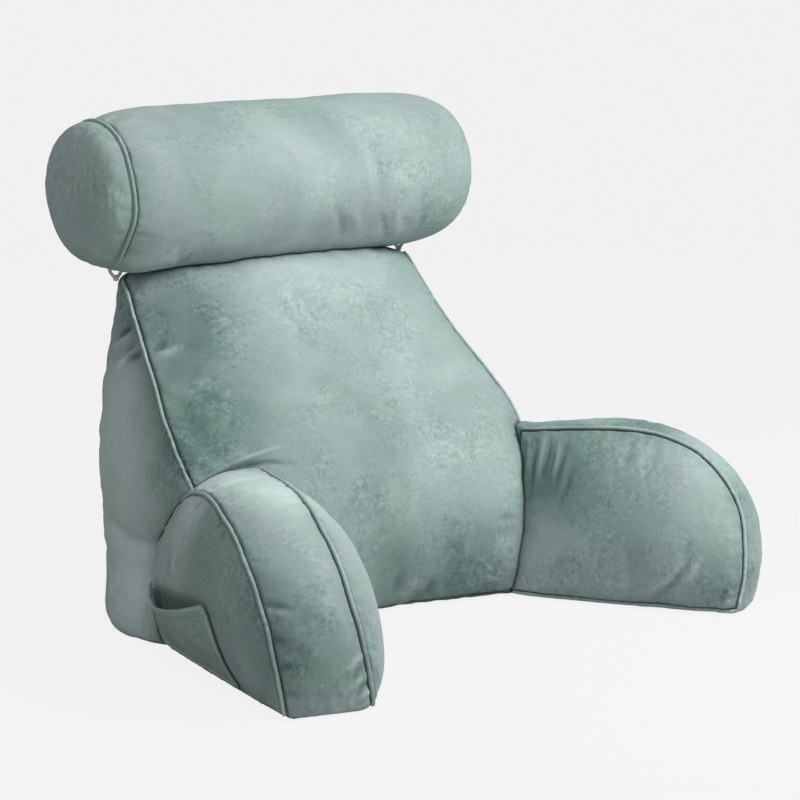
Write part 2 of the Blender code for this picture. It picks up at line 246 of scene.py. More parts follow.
# Folds that the photo shows, by cushion: each one's height and width in millimetres, then the points it passes
# through in the photo's own pixels, which the camera casts onto the cushion. A height below zero is a crease.
FOLDS = {
    "backrest": (
        (-3.0, 3.4, ((124, 302), (121, 306), (118, 311))),
        (-4.6, 3.4, ((132, 327), (125, 333), (117, 341))),
        (3.4, 4.2, ((133, 331), (124, 339), (112, 349))),
        (-3.6, 3.2, ((135, 344), (130, 350), (124, 356))),
        (4.0, 4.2, ((138, 348), (128, 355), (115, 370))),
        (-6.0, 4.2, ((141, 354), (134, 357), (125, 362))),
        (-2.8, 4.6, ((154, 353), (159, 348), (165, 340))),
        (3.2, 4.4, ((148, 359), (164, 353), (180, 347))),
        (2.2, 3.6, ((197, 476), (212, 466), (230, 457), (248, 450))),
        (5.0, 3.2, ((190, 492), (204, 481), (220, 470), (240, 461), (258, 454), (282, 446))),
        (-4.0, 2.8, ((196, 494), (210, 483), (226, 474), (244, 467), (266, 462), (294, 464))),
        (9.0, 18.0, ((200, 474), (190, 493), (179, 514), (168, 538), (160, 565))),
        (5.0, 14.0, ((527, 420), (520, 440), (514, 470), (508, 500))),
        (4.0, 14.0, ((507, 540), (506, 565), (504, 590))),
        (10.0, 13.0, ((124, 290), (130, 279), (145, 276), (170, 272), (200, 269))),
        (1.8, 6.0, ((194, 383), (202, 382), (212, 381))),
        (1.4, 7.0, ((281, 280), (285, 294), (292, 308))),
        (1.2, 8.0, ((312, 322), (318, 338), (323, 356))),
        (-1.6, 8.0, ((322, 330), (329, 346), (333, 362))),
        (-2.4, 6.5, ((412, 600), (427, 590), (436, 577))),
        (-2.0, 5.5, ((389, 597), (396, 586), (399, 573))),
        (1.8, 6.0, ((401, 601), (410, 590), (414, 578))),
        (-2.0, 5.0, ((498, 520), (508, 518), (517, 519))),
        (-1.6, 5.0, ((496, 536), (506, 531), (516, 530))),
    ),
    "neck_roll": (
        (9.0, 20.0, ((90, 256), (108, 261), (128, 263), (150, 262), (180, 256))),
        (-1.6, 4.0, ((194, 250), (184, 259), (168, 265))),
        (-0.8, 5.5, ((311, 106), (320, 114), (330, 126))),
        (0.8, 5.0, ((396, 126), (403, 135), (410, 146))),
        (-0.9, 6.0, ((350, 138), (355, 152), (360, 166))),
        (-1.0, 7.0, ((376, 148), (382, 174), (381, 204))),
        (1.0, 6.0, ((366, 150), (371, 176), (370, 206))),
        (-1.6, 6.0, ((337, 206), (341, 222), (342, 238))),
        (1.2, 6.0, ((352, 208), (357, 222), (358, 236))),
        (-1.4, 5.0, ((381, 214), (384, 226), (386, 240))),
        (1.0, 5.0, ((396, 206), (397, 224), (395, 240))),
        (-1.0, 6.0, ((424, 200), (422, 218), (414, 236))),
        (-0.8, 7.0, ((440, 140), (446, 164), (444, 196))),
    ),
    "arm_left": (
        (-3.0, 3.0, ((203, 500), (198, 506), (193, 511))),
        (-2.7, 3.0, ((211, 508), (207, 515), (204, 522))),
        (-2.7, 3.0, ((221, 518), (220, 524), (218, 530))),
        (-2.2, 3.0, ((225, 528), (223, 534), (220, 541))),
        (2.1, 3.4, ((176, 552), (173, 565), (173, 579))),
        (-2.1, 3.0, ((170, 556), (168, 566), (167, 577))),
        (1.8, 3.0, ((164, 560), (162, 571), (161, 582))),
        (-1.6, 3.6, ((262, 607), (276, 607), (292, 610))),
        (1.2, 4.4, ((264, 613), (278, 615), (292, 617))),
        (-1.0, 3.0, ((247, 558), (252, 561), (259, 561))),
        (-2.4, 3.4, ((269, 640), (276, 640), (285, 643))),
        (-2.4, 3.4, ((277, 668), (285, 669), (294, 666))),
        (-2.1, 3.4, ((283, 696), (291, 694), (301, 697))),
        (2.7, 3.0, ((362, 656), (354, 663), (346, 675))),
        (-2.4, 3.0, ((365, 664), (357, 672), (351, 684))),
        (2.7, 3.0, ((367, 672), (359, 681), (349, 694))),
        (-2.4, 3.0, ((369, 681), (362, 688), (354, 699))),
        (2.4, 3.0, ((371, 690), (364, 696), (356, 703))),
        (-1.8, 3.0, ((366, 651), (372, 649), (379, 650))),
    ),
    "arm_right": (
        (1.0, 3.0, ((529, 434), (527, 465), (523, 505), (519, 550), (517, 586))),
        (1.0, 3.0, ((528, 434), (529, 452), (529, 478))),
        (-2.0, 3.0, ((538, 436), (535, 456), (533, 480), (530, 506))),
        (1.8, 3.0, ((545, 435), (541, 456), (536, 484))),
        (-1.8, 3.0, ((552, 438), (548, 458), (542, 478))),
        (1.6, 3.0, ((560, 438), (557, 460), (552, 482))),
        (-1.6, 3.2, ((568, 440), (562, 462), (556, 482))),
        (1.0, 4.0, ((571, 456), (565, 474), (559, 494))),
        (-1.3, 4.0, ((572, 474), (565, 492), (556, 512))),
        (-1.2, 4.0, ((563, 556), (557, 566), (549, 577))),
        (-2.4, 3.2, ((692, 556), (684, 570), (672, 585), (654, 599))),
        (2.0, 4.0, ((699, 560), (689, 577), (676, 594))),
        (1.4, 4.0, ((680, 566), (668, 579), (652, 592))),
        (-1.2, 4.0, ((690, 540), (686, 550), (684, 560))),
        (-2.0, 3.2, ((729, 586), (722, 598), (713, 610))),
        (1.6, 3.4, ((734, 590), (728, 601), (720, 611))),
        (-1.8, 3.0, ((738, 592), (732, 602), (725, 612))),
    ),
}

# Patches where a cushion's colour is pushed lighter or darker, partly brushed pile and partly painted light and
# shade: how much, how far it reaches in millimetres, and its middle in the photo's pixels.
BRUSHED_AND_PAINTED_LIGHT = {
    "backrest": (
        (-0.52, 60, (165, 320)),
        (-0.55, 75, (190, 400)),
        (-0.36, 45, (205, 452)),
        (-0.14, 60, (250, 440)),
        (0.10, 70, (320, 270)),
        (-0.10, 120, (340, 440)),
        (-0.38, 60, (455, 575)),
        (-0.32, 55, (500, 560)),
        (-0.28, 50, (400, 560)),
        (-0.22, 60, (330, 480)),
        (0.55, 75, (112, 430)),
        (0.55, 75, (112, 520)),
        (0.40, 55, (130, 590)),
        (0.10, 40, (118, 360)),
        (-0.25, 28, (125, 320)),
    ),
    "neck_roll": (
        (-0.15, 70, (300, 105)),
        (-0.15, 55, (420, 110)),
        (-0.12, 35, (210, 118)),
        (-0.14, 60, (75, 195)),
    ),
    "arm_left": (
        (0.80, 56, (232, 480)),
        (0.50, 36, (280, 492)),
        (-0.24, 45, (262, 600)),
        (-0.36, 55, (300, 680)),
        (-0.14, 50, (350, 580)),
        (-0.30, 60, (200, 550)),
        (-0.22, 40, (215, 640)),
    ),
    "arm_right": (
        (-0.50, 55, (545, 460)),
        (-0.30, 70, (620, 500)),
        (-0.20, 60, (640, 580)),
        (-0.14, 60, (560, 550)),
        (-0.20, 40, (720, 585)),
        (0.14, 50, (700, 490)),
        (-0.42, 40, (640, 424)),
        (-0.36, 40, (745, 500)),
        (-0.30, 35, (752, 570)),
    ),
}

# The plush's two tints, the tint of the shade painted into seams and where cushions touch, and how much its
# patches differ on each kind of piece.
NAP_TINTS = ((0.965, 1.01, 0.962, 1.0), (1.022, 0.99, 1.03, 1.0))
PAINTED_SHADE_TINT = (0.17, 0.21, 0.22, 1.0)
PATCH_CONTRAST = {"plush_cloth_look": 0.62, "plush_seam_look": 0.9}

PHOTO_WIDTH = 800
SENSOR_WIDTH = 36.0

# Each light: where it stands, what it is turned to, how wide it is, its power and its colour.
LIGHTS = {
    "key": ((0.60, -1.00, 1.25), (0.0, 0.05, 0.25), 0.7, 22.0, (1.0, 0.99, 0.97)),
    "left_fill": ((-1.5, -1.3, 1.5), (0.0, 0.05, 0.3), 1.4, 11.5, (1.0, 1.0, 0.96)),
}
DAYLIGHT = ((0.93, 0.97, 1.0, 1.0), 0.36)
# The floor is flat out to its edge, then bends up round the pillow to a wall.
FLOOR_EDGE = 4.2
FLOOR_BEND = 2.0
WALL_TOP = 5.0

# The two seams of each cushion, as they are sewn.
seams = {}


# -----------------------------------------------------------------------------------------------------------
# Drawing the cases


def run(points, count):
    """Points spaced along a smooth curve through the given ones, without the last."""
    points = [Vector(p) for p in points]
    ends = [2 * points[0] - points[1], *points, 2 * points[-1] - points[-2]]
    made = []
    for i in range(count):
        at = i / count * (len(points) - 1)
        k = min(int(at), len(points) - 2)
        t = at - k
        a, b, c, d = ends[k : k + 4]
        bend = (2 * a - 5 * b + 4 * c - d) * t**2
        made.append(0.5 * (2 * b + (c - a) * t + bend + (3 * b - a - 3 * c + d) * t**3))
    return made


def softened(values, reach):
    """A closed list of numbers, each averaged with its neighbours on both sides."""
    return sum(np.roll(values, k) for k in range(-reach, reach + 1)) / (2 * reach + 1)


def bell(values, middle, width):
    """1 at the middle, and falling off softly on both sides of it."""
    return np.exp(-(((values - middle) / width) ** 2))


def drawn_in(rim, r):
    """The ring at fraction r of a panel: each wave of its rim fades towards the middle, as in a taut skin."""
    waves = np.fft.rfft(rim, axis=0)
    waves *= (r ** np.arange(len(waves)))[:, None]
    return np.fft.irfft(waves, n=len(rim), axis=0)


def gusset_normals(rims):
    """The way out of the case at each point of its gusset."""
    along = np.roll(rims[0], -1, axis=0) - np.roll(rims[0], 1, axis=0)
    out = np.cross(along, rims[1] - rims[0])
    out /= np.linalg.norm(out, axis=1)[:, None]
    inwards = (out * (rims[0] - rims[0].mean(axis=0))).sum(axis=1) < 0
    out[inwards] *= -1
    return out


def round_crown(s):
    """The height of a gusset's crown at fraction s of its width."""
    return (4 * s * (1 - s)) ** CROWN_POWER


def sewn_case(name, rims, swell, crowns, counts, profile=round_crown, power=CROWN_POWER):
    """A stuffed case of two panels and the gusset between them, and its two seams."""
    rims = [np.array(rim) + SHIFT for rim in rims]
    rings, band = counts["rings"], counts["band"]
    count, steps = len(rims[0]), 2 * rings + band
    out = gusset_normals(rims) * np.array(swell)[:, None]
    rows = []
    for step in range(steps + 1):
        if rings <= step <= rings + band:
            s = (1 - math.cos(math.pi * (step - rings) / band)) / 2
            rows.append(rims[0] * (1 - s) + rims[1] * s + out * profile(s))
        else:
            panel = 0 if step < rings else 1
            r = math.sin(math.pi / 2 * min(step, steps - step) / rings)
            rows.append(drawn_in(rims[panel], r) + np.array(crowns[panel]) * (1 - r * r) ** power)
    mesh = bmesh.new()
    bmesh.ops.create_uvsphere(mesh, u_segments=count, v_segments=steps, radius=1.0)
    place = {}
    for vert in mesh.verts:
        step = round(math.acos(max(-1.0, min(1.0, vert.co.z))) / math.pi * steps)
        turn = round(math.atan2(vert.co.y, vert.co.x) / math.tau * count) % count
        place[step, turn] = vert
    for (step, turn), vert in place.items():
        vert.co = rows[step][turn]
        vert.co.z = max(vert.co.z, 0.0)
    if mesh.calc_volume(signed=True) < 0:
        bmesh.ops.reverse_faces(mesh, faces=mesh.faces)
    mesh.normal_update()
    lines = []
    for step, inwards in ((rings, 1), (rings + band, -1)):
        places, outs, across = [], [], []
        for turn in range(count):
            vert = place[step, turn]
            places.append(vert.co)
            outs.append(vert.normal)
            across.append(place[step + inwards, turn].co - vert.co)
        lines.append(Seam(places, outs, across, step))
    return made_object(name, mesh), lines


class Seam:
    """A seam, sampled every millimetre: its points, the way out of the case there, the way to the gusset, how
    far along the seam each point lies, and between which turns of the case. A sewn seam wanders a little."""

    step = 0.001
    wander = 0.0021
    wander_length = 0.030
    straight_end = 0.02

    def __init__(self, places, outs, across, seed):
        closed = [np.array([*values, values[0]]) for values in (places, outs, across)]
        gaps = np.linalg.norm(np.diff(closed[0], axis=0), axis=1)
        reach = np.concatenate([[0.0], np.cumsum(gaps)])
        self.along = np.arange(0.0, reach[-1], self.step)
        self.turn = np.interp(self.along, reach, np.arange(len(reach)))
        picked = [[np.interp(self.along, reach, row) for row in values.T] for values in closed]
        self.points, self.out, self.across = [np.stack(rows, axis=1) for rows in picked]
        self.out /= np.linalg.norm(self.out, axis=1)[:, None]
        self.across -= self.out * (self.across * self.out).sum(axis=1)[:, None]
        self.across /= np.maximum(np.linalg.norm(self.across, axis=1), 1e-9)[:, None]
        end = np.minimum(self.along, self.along[-1] - self.along) / self.straight_end
        for k, s in enumerate(self.along):
            strayed = noise.noise(Vector((s / self.wander_length, seed * 1.7, 0.5))) * self.wander
            self.points[k] += self.across[k] * (strayed * min(1.0, end[k]))


def made_object(name, mesh, material=None):
    data = bpy.data.meshes.new(name)
    mesh.to_mesh(data)
    mesh.free()
    data.shade_smooth()
    obj = bpy.data.objects.new(name, data)
    bpy.context.scene.collection.objects.link(obj)
    if material:
        data.materials.append(material)
    return obj


def applied(obj):
    """The object with its modifiers taken into its mesh."""
    graph = bpy.context.evaluated_depsgraph_get()
    data = bpy.data.meshes.new_from_object(obj.evaluated_get(graph), depsgraph=graph)
    obj.modifiers.clear()
    old, obj.data = obj.data, data
    data.name = old.name
    bpy.data.meshes.remove(old)
    return obj


def points_of(obj, kind="co"):
    """The points of a mesh, or with the kind "normal" the way out of the cloth at each."""
    values = np.empty(len(obj.data.vertices) * 3, np.float32)
    obj.data.vertices.foreach_get(kind, values)
    return values.reshape(-1, 3).astype(float)


def set_points(obj, co):
    obj.data.vertices.foreach_set("co", co.astype(np.float32).ravel())
    obj.data.update()


def surface(obj):
    """A mesh as a tree that finds the nearest point of it, or the first one on a line."""
    return BVHTree.FromPolygons([v.co for v in obj.data.vertices], [p.vertices for p in obj.data.polygons])


def heights_over(tree, co):
    """How far each point is outside a closed surface, below zero inside it."""
    made = np.empty(len(co))
    for i, point in enumerate(co):
        point = Vector(point)
        nearest, normal, _, distance = tree.find_nearest(point)
        made[i] = distance if (point - nearest).dot(normal) >= 0 else -distance
    return made


# -----------------------------------------------------------------------------------------------------------
# Stuffing and finishing the cloth


def even_cloth(obj, size):
    """Cloth of even squares all over, without the drawing's own rings."""
    remesh = obj.modifiers.new("even_cloth", "REMESH")
    remesh.mode = "VOXEL"
    remesh.voxel_size = size
    remesh.use_smooth_shade = True
    applied(obj)
    mesh = bmesh.new()
    mesh.from_mesh(obj.data)
    axes = {"use_axis_x": True, "use_axis_y": True, "use_axis_z": True}
    for _ in range(2):
        bmesh.ops.smooth_vert(mesh, verts=mesh.verts, factor=0.5, **axes)
    mesh.to_mesh(obj.data)
    mesh.free()
    obj.data.shade_smooth()


def nearest_seams(co, lines):
    """For each point: its distance to the nearest seam, whether it lies on the gusset's side of it, how far
    along that seam it lies, and which seam that is."""
    points = np.concatenate([line.points for line in lines])
    across = np.concatenate([line.across for line in lines])
    along = np.concatenate([line.along for line in lines])
    which = np.concatenate([np.full(len(line.points), k) for k, line in enumerate(lines)])
    tree = KDTree(len(points))
    for k, point in enumerate(points):
        tree.insert(point, k)
    tree.balance()
    near = np.empty(len(co), int)
    distance = np.empty(len(co))
    for i, point in enumerate(co):
        _, near[i], distance[i] = tree.find(point)
    on_gusset = ((co - points[near]) * across[near]).sum(axis=1) > 0.4 * distance
    return distance, on_gusset, along[near], which[near]


def smoothed(obj, values, rounds):
    """Values on the cloth's points, each averaged with its neighbours' many times."""
    edges = np.empty(len(obj.data.edges) * 2, np.int32)
    obj.data.edges.foreach_get("vertices", edges)
    a, b = edges.reshape(-1, 2).T
    count = len(values)
    shares = np.maximum(np.bincount(a, minlength=count) + np.bincount(b, minlength=count), 1)
    for _ in range(rounds):
        columns = []
        for column in values.T:
            total = np.bincount(a, column[b], count) + np.bincount(b, column[a], count)
            columns.append(0.5 * column + 0.5 * total / shares)
        values = np.stack(columns, axis=1)
    return values


def stuff(obj, lines, square, cap):
    """Fills the case: the cloth has a little to spare, its seams hold it, and it swells by no more than the
    cap. The drawn shape is the filled one, so most of the even swelling is taken off and the wrinkles stay."""
    scene = bpy.context.scene
    start = points_of(obj)
    distance = nearest_seams(start, lines)[0]
    held = np.maximum(np.clip(1.0 - distance / (1.3 * square), 0.0, 1.0), start[:, 2] < 0.002)
    group = obj.vertex_groups.new(name="held")
    for index in np.nonzero(held)[0]:
        group.add([int(index)], float(held[index]), "REPLACE")
    cloth = obj.modifiers.new("stuffing", "CLOTH")
    for key, value in STUFFED_CLOTH.items():
        setattr(cloth.settings, key, value)
    cloth.settings.uniform_pressure_force = sizes().stuffing_pressure
    cloth.settings.shrink_min = -sizes().spare_cloth
    cloth.settings.effector_weights.gravity = 0.0
    cloth.collision_settings.use_collision = False
    cloth.point_cache.frame_start = 1
    cloth.point_cache.frame_end = STUFFING_STEPS
    for step in range(1, STUFFING_STEPS + 1):
        scene.frame_set(step)
    graph = bpy.context.evaluated_depsgraph_get()
    moved = np.array([v.co for v in obj.evaluated_get(graph).data.vertices]) - start
    obj.modifiers.remove(cloth)
    obj.vertex_groups.clear()
    scene.frame_set(1)
    moved -= EVEN_SWELLING * smoothed(obj, moved, int(4 * (0.030 / square) ** 2))
    length = np.linalg.norm(moved, axis=1)
    keep = cap * np.tanh(length / cap) / np.maximum(length, 1e-9)
    set_points(obj, start + moved * keep[:, None])


def subdivided(obj):
    subdivision = obj.modifiers.new("fine_cloth", "SUBSURF")
    subdivision.levels = 1
    subdivision.render_levels = 1
    applied(obj)
    obj.data.shade_smooth()


def finer_at_seams(obj, lines, folds):
    """Smaller squares of cloth along the seams, where the stitches draw it into a narrow groove, and along its
    sharp folds."""
    co = points_of(obj)
    sharp = [(abs(height), 1.5 * width, pixels) for height, width, pixels in folds if width < FINE_FOLD_WIDTH]
    at_seam = nearest_seams(co, lines)[0] < FINE_REACH
    near = at_seam | (fold_lift(co, surface(obj), sharp) > FINE_FOLD_LIFT)
    mesh = bmesh.new()
    mesh.from_mesh(obj.data)
    mesh.verts.ensure_lookup_table()
    edges = [edge for edge in mesh.edges if near[edge.verts[0].index] and near[edge.verts[1].index]]
    bmesh.ops.subdivide_edges(mesh, edges=edges, cuts=1, use_grid_fill=True)
    mesh.to_mesh(obj.data)
    mesh.free()
    obj.data.shade_smooth()


def camera_axes():
    """The camera's ways right, up and back, and its place."""
    a, e, r = [math.radians(CAMERA[key]) for key in ("azimuth", "elevation", "roll")]
    back = Vector((-math.sin(a) * math.cos(e), -math.cos(a) * math.cos(e), math.sin(e)))
    x = Vector((0, 0, 1)).cross(back).normalized()
    y = back.cross(x)
    place = Vector(CAMERA["look_at"]) + Vector(SHIFT) + back * CAMERA["distance"]
    return x * math.cos(r) + y * math.sin(r), y * math.cos(r) - x * math.sin(r), back, place


def under_pixel(tree, u, v):
    """The point of a surface that the camera sees at a pixel of the photo."""
    right, up, back, place = camera_axes()
    scale = SENSOR_WIDTH / CAMERA["lens"] / PHOTO_WIDTH
    middle = PHOTO_WIDTH / 2
    way = right * (u - middle) * scale + up * (middle - v) * scale - back
    return tree.ray_cast(place, way.normalized())[0]


def fold_lift(co, tree, folds):
    """How far the folds lift each point; each fold fades out towards both of its ends."""
    lift = np.zeros(len(co))
    for height, width, pixels in folds:
        points = [under_pixel(tree, *pixel) for pixel in pixels]
        points = np.array([point for point in points if point])
        if len(points) < 2:
            continue
        best = np.full(len(co), np.inf)
        place = np.zeros(len(co))
        lengths = np.linalg.norm(np.diff(points, axis=0), axis=1)
        before = 0.0
        for a, b, length in zip(points, points[1:], lengths):
            t = np.clip(((co - a) @ (b - a)) / length**2, 0.0, 1.0)
            gap = np.linalg.norm(co - (a + t[:, None] * (b - a)), axis=1)
            closer = gap < best
            best[closer] = gap[closer]
            place[closer] = (before + t[closer] * length) / lengths.sum()
            before += length
        fade = np.sin(np.pi * np.clip(place, 0.03, 0.97)) ** 0.6
        lift += height * 0.001 * bell(best, 0.0, width * 0.001) * fade
    return lift


def dress(obj, lines, grooves, folds, seed, sunk=()):
    """Gives the cloth its soft lumps, the gathers that run off its seams, its folds and the stitched groove on
    both sides of each seam. grooves are the depths on the panel's and the gusset's side of each seam, and sunk
    holds (surface, depth, width) for each neighbour that this cushion is sewn to or pressed by."""
    lump_height, wide, narrow, lump_start = LUMPS
    gather_height, gather_width, gather_length, stretch, highest, gather_end = GATHERS
    co, out = points_of(obj), points_of(obj, "normal")
    distance, on_gusset, along, which = nearest_seams(co, lines)
    lift = fold_lift(co, surface(obj), folds)
    offset = Vector((seed * 7.3, seed * 3.1, seed * 5.7))
    for i, point in enumerate(co):
        at = Vector(point)
        d, s = distance[i], along[i]
        lump = noise.noise(at / wide + offset) + 0.5 * noise.noise(at / narrow - offset)
        lift[i] += lump_height * lump * min(1.0, d / lump_start)
        if d < gather_end:
            line = seed * 2.0 + which[i] * 5.0 + on_gusset[i]
            busy = max(0.0, 0.35 + 1.3 * noise.noise(Vector((s / stretch, line, 3.0))))
            wave = noise.noise(Vector((s / gather_width, d / gather_length, line)))
            reach = d / highest
            lift[i] += gather_height * busy * wave * reach * math.exp(1.0 - reach)
    depth = np.array(grooves)[which, on_gusset.astype(int)]
    lift -= depth * bell(distance, *GROOVE_SHAPE) + 0.0006 * bell(distance, 0.0, 0.0035)
    for tree, deep, width in sunk:
        near = heights_over(tree, co)
        lift -= deep * bell(np.maximum(near, 0.0), 0.0, width) * (near > -0.004)
    co += out * lift[:, None]
    co[:, 2] = np.maximum(co[:, 2], 0.0)
    set_points(obj, co)


def shade(obj, lines, grooves, neighbours, patches, folds):
    """Paints shade on each point where it lies in a seam's groove, along its seams and against the cushions
    beside it, as the sunk mark. Also marks how far its colour is pushed lighter or darker: by the listed patches,
    which are partly brushed pile and partly painted light and shade, and by each sharp fold, painted lighter on
    its ridge and darker in its crease."""
    co = points_of(obj)
    distance, on_gusset, _, which = nearest_seams(co, lines)
    # Painted shade in each seam's groove, deeper grooves painted darker, and a faint painted shade all along the
    # seams.
    depth = np.array(grooves)[which, on_gusset.astype(int)] / DARK_GROOVE
    painted_shade = np.clip(depth, 0.0, 1.0) * bell(distance, *GROOVE_SHADOW)
    painted_shade = np.maximum(painted_shade, 0.18 * bell(distance, 0.0, 0.012))
    # Painted contact shadow where the cloth lies against a neighbouring cushion.
    for tree in neighbours:
        near = np.abs(heights_over(tree, co))
        painted_shade = np.maximum(painted_shade, np.maximum(0.95 * bell(near, 0.0, 0.0032), 0.3 * bell(near, 0.0, 0.014)))
    tree = surface(obj)
    # Patches pushed lighter or darker: partly brushed pile, partly painted light and shade.
    brushed = np.zeros(len(co))
    for amount, reach, pixel in patches:
        middle = under_pixel(tree, *pixel)
        if middle:
            brushed += amount * bell(np.linalg.norm(co - np.array(middle), axis=1), 0.0, reach * 0.001)
    # Painted highlight along each sharp fold's ridge and painted shade in each crease.
    folded = FOLD_PAINTED_LIGHT * fold_lift(co, tree, [fold for fold in folds if fold[1] < FOLD_PAINTED_LIGHT_WIDTH])
    by_patch, by_fold = MOST_BRUSHED_AND_PAINTED
    brushed = by_patch * np.tanh(brushed / by_patch) + by_fold * np.tanh(folded / by_fold)
    for label, values in (("sunk", painted_shade), ("brushed", brushed)):
        mark = obj.data.attributes.new(label, "FLOAT", "POINT")
        mark.data.foreach_set("value", values.astype(np.float32))


def grown(obj, amount):
    """A copy of a cushion, a little larger all round."""
    copy = bpy.data.objects.new(obj.name + "_grown", obj.data.copy())
    bpy.context.scene.collection.objects.link(copy)
    set_points(copy, points_of(obj) + points_of(obj, "normal") * amount)
    return copy


def cut_clear(obj, others):
    """Cuts the space of its neighbours, and a little more, out of a cushion."""
    cutters = [grown(other, CLEARANCE) for other in others]
    for cutter in cutters:
        modifier = obj.modifiers.new("clear", "BOOLEAN")
        modifier.operation = "DIFFERENCE"
        modifier.solver = "MANIFOLD"
        modifier.object = cutter
    applied(obj)
    for cutter in cutters:
        bpy.data.objects.remove(cutter, do_unlink=True)
    obj.data.shade_smooth()
    obj.data.set_sharp_from_angle(angle=math.radians(50))


# -----------------------------------------------------------------------------------------------------------
# Materials


class Nodes:
    """A node tree that is filled from left to right, one named node at a time."""

    def __init__(self, tree):
        self.tree = tree

    def add(self, kind, settings=None, **inputs):
        """A node of a kind. An input is given by its name, or as i0, i1 and so on by its number."""
        node = self.tree.nodes.new(kind)
        for key, value in (settings or {}).items():
            setattr(node, key, value)
        for key, value in inputs.items():
            by_number = key[0] == "i" and key[1:].isdigit()
            socket = node.inputs[int(key[1:]) if by_number else key.replace("_", " ")]
            if isinstance(value, bpy.types.NodeSocket):
                self.tree.links.new(value, socket)
            else:
                socket.default_value = value
        return node

    def math(self, operation, a, b, clamp=False):
        return self.add("ShaderNodeMath", {"operation": operation, "use_clamp": clamp}, i0=a, i1=b).outputs[0]

    def plus(self, a, b, clamp=False):
        return self.math("ADD", a, b, clamp)

    def times(self, a, b):
        return self.math("MULTIPLY", a, b)

    def off_middle(self, value):
        """A value from 0..1 brought to -0.5..0.5."""
        return self.math("SUBTRACT", value, 0.5)

    def spread(self, value, low, high):
        """A value brought from low..high to 0..1."""
        return self.add("ShaderNodeMapRange", {}, Value=value, From_Min=low, From_Max=high).outputs[0]

    def mix(self, factor, a, b, blend="MIX"):
        node = self.add("ShaderNodeMix", {"data_type": "RGBA", "blend_type": blend}, i0=factor, i6=a, i7=b)
        return node.outputs[2]

    def noise(self, vector, scale, detail, roughness, distortion=0.0):
        look = {"Scale": scale, "Detail": detail, "Roughness": roughness, "Distortion": distortion}
        return self.add("ShaderNodeTexNoise", {}, Vector=vector, **look).outputs[0]

    def bump(self, strength, distance, height):
        look = {"Strength": strength, "Distance": distance, "Height": height}
        return self.add("ShaderNodeBump", {}, **look).outputs[0]

    def mark(self, label):
        """A value that the piece's cloth is marked with."""
        return self.add("ShaderNodeAttribute", {"attribute_name": label}).outputs["Fac"]

    def finish(self, **inputs):
        """The material's shader with these inputs, joined to its output."""
        shader = self.add("ShaderNodeBsdfPrincipled", {}, **inputs)
        self.add("ShaderNodeOutputMaterial", {}, Surface=shader.outputs[0])

    def strokes(self, vector, scale, turn, low, high):
        """Short strokes of the pile: noise that is drawn out one way, from 0 to 1."""
        drawn = self.add("ShaderNodeMapping", {}, Vector=vector, Rotation=turn, Scale=scale).outputs[0]
        return self.spread(self.noise(drawn, 1.0, 2.0, 0.6, 0.9), low, high)


def new_group(name, inputs, outputs):
    """A node group with the named inputs and outputs, its nodes, and what is given to it."""
    group = bpy.data.node_groups.new(name, "ShaderNodeTree")
    for label, kind, value in inputs:
        socket = group.interface.new_socket(name=label, in_out="INPUT", socket_type=kind)
        if value is not None:
            socket.default_value = value
    for label, kind in outputs:
        group.interface.new_socket(name=label, in_out="OUTPUT", socket_type=kind)
    nodes = Nodes(group)
    return group, nodes, nodes.add("NodeGroupInput").outputs


